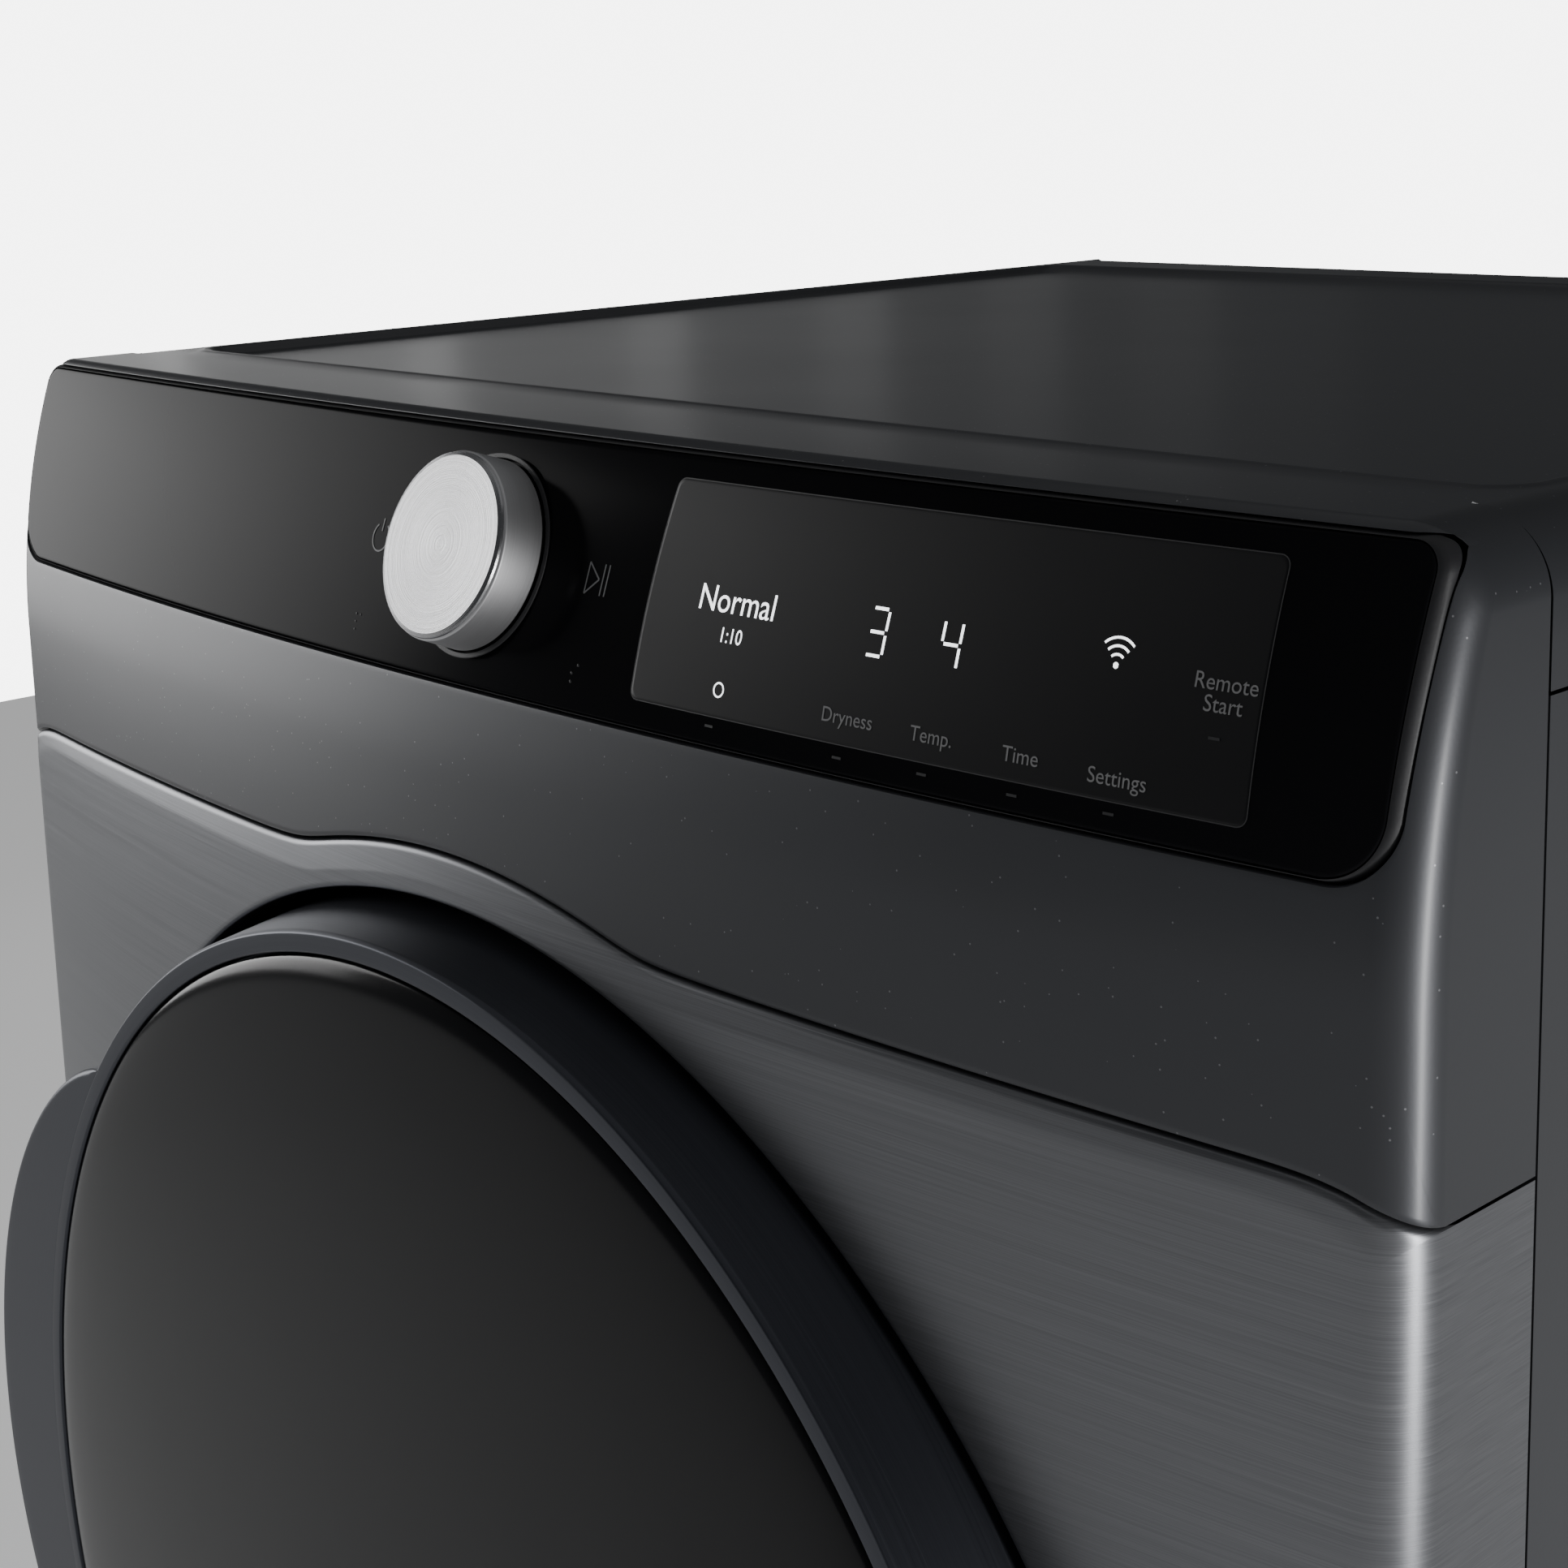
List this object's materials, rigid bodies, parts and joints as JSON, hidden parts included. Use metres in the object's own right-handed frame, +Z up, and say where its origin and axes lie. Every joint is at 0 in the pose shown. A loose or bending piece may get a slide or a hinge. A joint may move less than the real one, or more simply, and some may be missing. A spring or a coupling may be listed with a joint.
{
  "type": "clothes dryer",
  "caption": "Free-standing front-loading clothes dryer with a round hinged door, a turning drum, a curved touch control panel with a dial, and a rear exhaust outlet.",
  "frame": {"origin": "middle of the footprint at floor level", "axes": "+Z up, the front faces -Y, +X to the right when facing the front"},
  "size_m": [0.686, 0.7632, 0.984],
  "materials": {
    "graphite_paint": "satin metallic graphite with fine flecks",
    "brushed_dark_steel": "dark tinted steel, brushed level",
    "black_glass": "gloss black touch panel",
    "black_plastic": "fine matt texture",
    "circuit_board": "lacquered board",
    "galvanised_steel": "zinc coated sheet",
    "stainless_steel": "satin stainless",
    "grey_plastic": "moulded grey",
    "black_rubber": "matt",
    "wool_felt": "pressed felt",
    "motor_metal": "grey lacquer",
    "smoked_glass": "dark tinted",
    "clear_glass": "clear",
    "ring_metal": "dark satin metal",
    "dial_dark_metal": "polished dark side",
    "spun_aluminium": "spun in circles with a bright turned edge"
  },
  "bodies": {
    "cabinet": {"front_frame": "graphite_paint", "lower_front_panel": "brushed_dark_steel", "control_glass": "black_glass", "control_bezel": "black_plastic", "display_module": "black_glass", "control_board": "circuit_board", "dial_encoder": "black_plastic", "top_cover": "graphite_paint", "left_side_panel": "graphite_paint", "right_side_panel": "graphite_paint", "rear_panel": "galvanised_steel", "base_pan": "galvanised_steel", "foot_left_front": "black_rubber", "foot_left_rear": "black_rubber", "foot_right_front": "black_rubber", "foot_right_rear": "black_rubber", "front_bulkhead": "galvanised_steel", "rear_bulkhead": "galvanised_steel", "front_felt_seal": "wool_felt", "rear_felt_seal": "wool_felt", "drum_belt": "black_rubber", "left_roller_shaft": "galvanised_steel", "right_roller_shaft": "galvanised_steel", "motor_body": "motor_metal", "blower_housing": "black_plastic", "exhaust_duct": "galvanised_steel", "heater_housing": "galvanised_steel", "heater_element": "motor_metal", "rear_air_duct": "galvanised_steel", "idler_bracket": "galvanised_steel", "hinge_bracket": "galvanised_steel", "hinge_pin": "galvanised_steel", "door_catch": "black_plastic", "lint_duct": "black_plastic", "moisture_sensor": "stainless_steel", "drum_lamp": "clear_glass", "terminal_cover": "galvanised_steel"},
    "door": {"door_ring": "ring_metal", "door_glass": "smoked_glass", "door_liner": "grey_plastic", "door_bowl": "clear_glass", "door_handle": "ring_metal", "door_seal": "black_rubber", "door_strike": "galvanised_steel", "door_hinge_leaf": "ring_metal"},
    "drum": {"drum": "stainless_steel", "drum_baffle_1": "grey_plastic", "drum_baffle_2": "grey_plastic", "drum_baffle_3": "grey_plastic"},
    "motor_rotor": {"motor_shaft": "galvanised_steel", "motor_pulley": "galvanised_steel", "blower_wheel": "black_plastic"},
    "idler_lever": {"idler_arm": "galvanised_steel"},
    "idler_wheel": {"idler_pulley": "black_plastic"},
    "roller_left": {"left_roller": "grey_plastic"},
    "roller_right": {"right_roller": "grey_plastic"},
    "dial": {"dial_skirt": "dial_dark_metal", "dial_cap": "spun_aluminium", "dial_shaft": "dial_dark_metal"},
    "filter": {"lint_filter": "grey_plastic"}
  },
  "joints": [
    {"name": "door_hinge", "type": "hinge", "parent": "cabinet", "child": "door", "pos_m": [0.2943, -0.35645, 0.5546], "axis": [0, 0, 1], "range_deg": [0, 150]},
    {"name": "drum_spin", "type": "hinge", "parent": "cabinet", "child": "drum", "pos_m": [0.005, 0.03555, 0.5546], "axis": [0, 1, 0], "continuous": true},
    {"name": "motor_spin", "type": "hinge", "parent": "cabinet", "child": "motor_rotor", "pos_m": [-0.048, -0.02045, 0.14], "axis": [0, 1, 0], "continuous": true},
    {"name": "left_roller_spin", "type": "hinge", "parent": "cabinet", "child": "roller_left", "pos_m": [-0.19626, 0.25455, 0.27759], "axis": [0, 1, 0], "continuous": true},
    {"name": "right_roller_spin", "type": "hinge", "parent": "cabinet", "child": "roller_right", "pos_m": [0.20626, 0.25455, 0.27759], "axis": [0, 1, 0], "continuous": true},
    {"name": "idler_swing", "type": "hinge", "parent": "cabinet", "child": "idler_lever", "pos_m": [-0.17256, 0.09555, 0.092], "axis": [0, 1, 0], "range_deg": [-12, 0], "stiffness_Nm_per_rad": 1.5, "springref_deg": 17.19},
    {"name": "idler_spin", "type": "hinge", "parent": "idler_lever", "child": "idler_wheel", "pos_m": [-0.14256, 0.08555, 0.20528], "axis": [0, 1, 0], "continuous": true},
    {"name": "dial_turn", "type": "hinge", "parent": "cabinet", "child": "dial", "pos_m": [0.0045, -0.32853, 0.9435], "axis": [0.0011, -0.9375, 0.3481], "continuous": true},
    {"name": "lint_filter_slide", "type": "slide", "parent": "cabinet", "child": "filter", "axis": [0, 0, 1], "range_m": [0, 0.19]}
  ],
  "couplings": [
    {"joint": "motor_spin", "follows": "drum_spin", "ratio": 26},
    {"joint": "left_roller_spin", "follows": "drum_spin", "ratio": -10.4},
    {"joint": "right_roller_spin", "follows": "drum_spin", "ratio": -10.4},
    {"joint": "idler_spin", "follows": "drum_spin", "ratio": -17.333}
  ]
}
